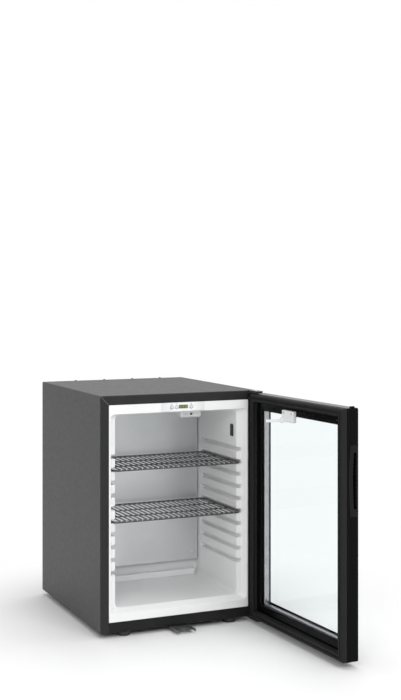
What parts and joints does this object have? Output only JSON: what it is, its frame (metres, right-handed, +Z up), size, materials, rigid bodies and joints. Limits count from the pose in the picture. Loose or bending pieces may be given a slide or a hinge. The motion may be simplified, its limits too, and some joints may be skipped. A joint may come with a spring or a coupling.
{
  "type": "minibar fridge",
  "caption": "Small black absorption minibar with a white grooved interior, wire shelves and a hinged glass door standing open.",
  "frame": {"origin": "on the floor, under the middle of the box round the cabinet and its open door", "axes": "+Z up, the cabinet's open front faces -Y, +X to the right seen from the front, towards the hinge side"},
  "size_m": [0.4345, 0.8575, 0.5619],
  "materials": {
    "black_paint": "satin",
    "black_plastic": "satin",
    "black_rubber": "matte",
    "white_plastic": "satin",
    "grey_label": "matte",
    "dark_grey_plastic": "matte",
    "display": "gloss",
    "circuit_board": "matte",
    "foam": "matte",
    "aluminium": "satin",
    "zinc_steel": "satin",
    "unit_paint": "matte",
    "glass": "clear",
    "clear_lens": "clear",
    "coated_wire": "gloss",
    "chrome": "polished"
  },
  "bodies": {
    "cabinet": {"outer_casing": "black_paint", "base_panel": "black_paint", "rear_panel": "zinc_steel", "inner_liner": "white_plastic", "insulation_foam": "foam", "control_panel": "grey_label", "display_window": "display", "control_board": "circuit_board", "evaporator_plate": "aluminium", "evaporator_tube": "aluminium", "drain_gutter": "white_plastic", "drain_tube": "white_plastic", "lamp_housing": "white_plastic", "lamp_lens": "clear_lens", "sensor_cover": "dark_grey_plastic", "foot_front_left": "black_rubber", "foot_front_right": "black_rubber", "foot_rear_left": "black_rubber", "foot_rear_right": "black_rubber", "lock_striker": "zinc_steel", "striker_screw_left": "zinc_steel", "striker_screw_right": "zinc_steel", "top_hinge_plate": "black_paint", "top_hinge_cap": "black_plastic", "top_hinge_pin": "chrome", "bottom_hinge_plate": "black_paint", "bottom_hinge_pin": "chrome", "boiler_jacket": "zinc_steel", "heater_cartridge": "zinc_steel", "condenser": "unit_paint", "absorber_coil": "unit_paint", "absorber_vessel": "unit_paint", "heat_exchanger_tube": "unit_paint", "terminal_box": "dark_grey_plastic", "cord_gland": "black_rubber", "upper_support_rail": "zinc_steel", "lower_support_rail": "zinc_steel", "rear_screw_left": "zinc_steel", "rear_screw_right": "zinc_steel"},
    "door": {"door_outer_frame": "black_plastic", "door_inner_frame": "black_plastic", "outer_glass": "glass", "inner_glass": "glass", "glass_spacer": "aluminium", "door_gasket": "black_rubber", "handle_insert": "dark_grey_plastic", "corner_plug": "black_plastic", "lamp_arm": "white_plastic", "top_hinge_bush": "dark_grey_plastic", "bottom_hinge_bush": "dark_grey_plastic", "lock_barrel": "chrome"},
    "button_up_body": {"button_up": "black_plastic"},
    "button_down_body": {"button_down": "black_plastic"},
    "button_power_body": {"button_power": "black_plastic"},
    "plunger_body": {"switch_plunger": "black_plastic"},
    "shelf_upper_body": {"shelf_upper": "coated_wire"},
    "shelf_lower_body": {"shelf_lower": "coated_wire"},
    "lock_plug_body": {"lock_plug": "chrome"},
    "lock_bolt_body": {"lock_bolt": "zinc_steel"}
  },
  "joints": [
    {"name": "door_hinge", "type": "hinge", "parent": "cabinet", "child": "door", "pos_m": [0.17738, -0.03479, 0.28], "axis": [0, 0, 1], "range_deg": [-92.36, 27.64]},
    {"name": "shelf_upper_slide", "type": "slide", "parent": "cabinet", "child": "shelf_upper_body", "axis": [0, -1, 0], "range_m": [0, 0.18]},
    {"name": "shelf_lower_slide", "type": "slide", "parent": "cabinet", "child": "shelf_lower_body", "axis": [0, -1, 0], "range_m": [0, 0.18]},
    {"name": "button_up_press", "type": "slide", "parent": "cabinet", "child": "button_up_body", "axis": [0, 1, 0], "range_m": [0, 0.0012], "stiffness_N_per_m": 300},
    {"name": "button_down_press", "type": "slide", "parent": "cabinet", "child": "button_down_body", "axis": [0, 1, 0], "range_m": [0, 0.0012], "stiffness_N_per_m": 300},
    {"name": "button_power_press", "type": "slide", "parent": "cabinet", "child": "button_power_body", "axis": [0, 1, 0], "range_m": [0, 0.0012], "stiffness_N_per_m": 300},
    {"name": "switch_plunger_press", "type": "slide", "parent": "cabinet", "child": "plunger_body", "axis": [0, 1, 0], "range_m": [0, 0.003], "stiffness_N_per_m": 200},
    {"name": "lock_plug_turn", "type": "hinge", "parent": "door", "child": "lock_plug_body", "pos_m": [0.21066, -0.23023, 0.03], "axis": [0.9992, 0.0412, 0], "range_deg": [0, 90]},
    {"name": "lock_bolt_drop", "type": "slide", "parent": "door", "child": "lock_bolt_body", "axis": [0, 0, -1], "range_m": [0, 0.008]}
  ],
  "couplings": [
    {"joint": "lock_plug_turn", "follows": "lock_bolt_drop", "rad_per_m": 196.35}
  ]
}
